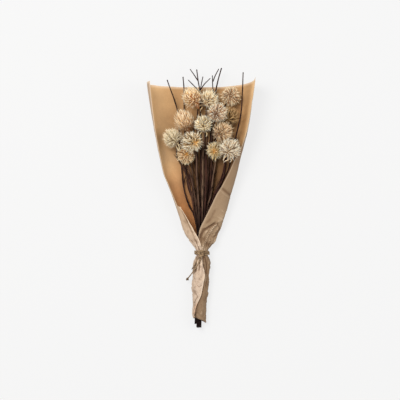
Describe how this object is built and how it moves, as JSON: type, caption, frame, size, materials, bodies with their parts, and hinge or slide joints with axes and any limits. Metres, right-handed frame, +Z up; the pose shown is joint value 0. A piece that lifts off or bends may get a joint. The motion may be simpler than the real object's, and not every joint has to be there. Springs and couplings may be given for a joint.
{
  "type": "dried thistle bouquet",
  "caption": "Bouquet of dried thistle heads and bare twigs, rolled in a cone of brown kraft paper and tied at the waist with jute twine.",
  "frame": {"origin": "middle of the bounding box's underside, on the surface that the bouquet lies on", "axes": "+Y along the bouquet from the cut stem ends to the flower heads, +X to the right seen from above with the heads away from the viewer, +Z up"},
  "size_m": [0.2072, 0.5018, 0.0743],
  "materials": {
    "kraft_paper": "matte brown kraft paper, crumpled near the twine",
    "thistle_bracts": "dry papery bracts, cream tips and golden tan roots",
    "thistle_stem": "dry ridged stem, dark brown to grey-brown",
    "twig_bark": "smooth dark bark with buds",
    "jute_twine": "twisted jute with loose fibres"
  },
  "bodies": {
    "root": {"kraft_paper": "kraft_paper", "thistle_head_01": "thistle_bracts", "thistle_head_02": "thistle_bracts", "thistle_head_03": "thistle_bracts", "thistle_head_04": "thistle_bracts", "thistle_head_05": "thistle_bracts", "thistle_head_06": "thistle_bracts", "thistle_head_07": "thistle_bracts", "thistle_head_08": "thistle_bracts", "thistle_head_09": "thistle_bracts", "thistle_head_10": "thistle_bracts", "thistle_head_11": "thistle_bracts", "thistle_head_12": "thistle_bracts", "thistle_head_13": "thistle_bracts", "thistle_stem_01": "thistle_stem", "thistle_stem_02": "thistle_stem", "thistle_stem_03": "thistle_stem", "thistle_stem_04": "thistle_stem", "thistle_stem_05": "thistle_stem", "thistle_stem_06": "thistle_stem", "thistle_stem_07": "thistle_stem", "thistle_stem_08": "thistle_stem", "thistle_stem_09": "thistle_stem", "thistle_stem_10": "thistle_stem", "thistle_stem_11": "thistle_stem", "thistle_stem_12": "thistle_stem", "thistle_stem_13": "thistle_stem", "bare_stem_01": "thistle_stem", "bare_stem_02": "thistle_stem", "bare_stem_03": "thistle_stem", "bare_stem_04": "thistle_stem", "twig_01": "twig_bark", "twig_02": "twig_bark", "twig_03": "twig_bark", "twig_04": "twig_bark", "twig_05": "twig_bark", "twine_binding": "jute_twine", "twine_tail_long": "jute_twine", "twine_tail_short": "jute_twine"}
  },
  "joints": []
}
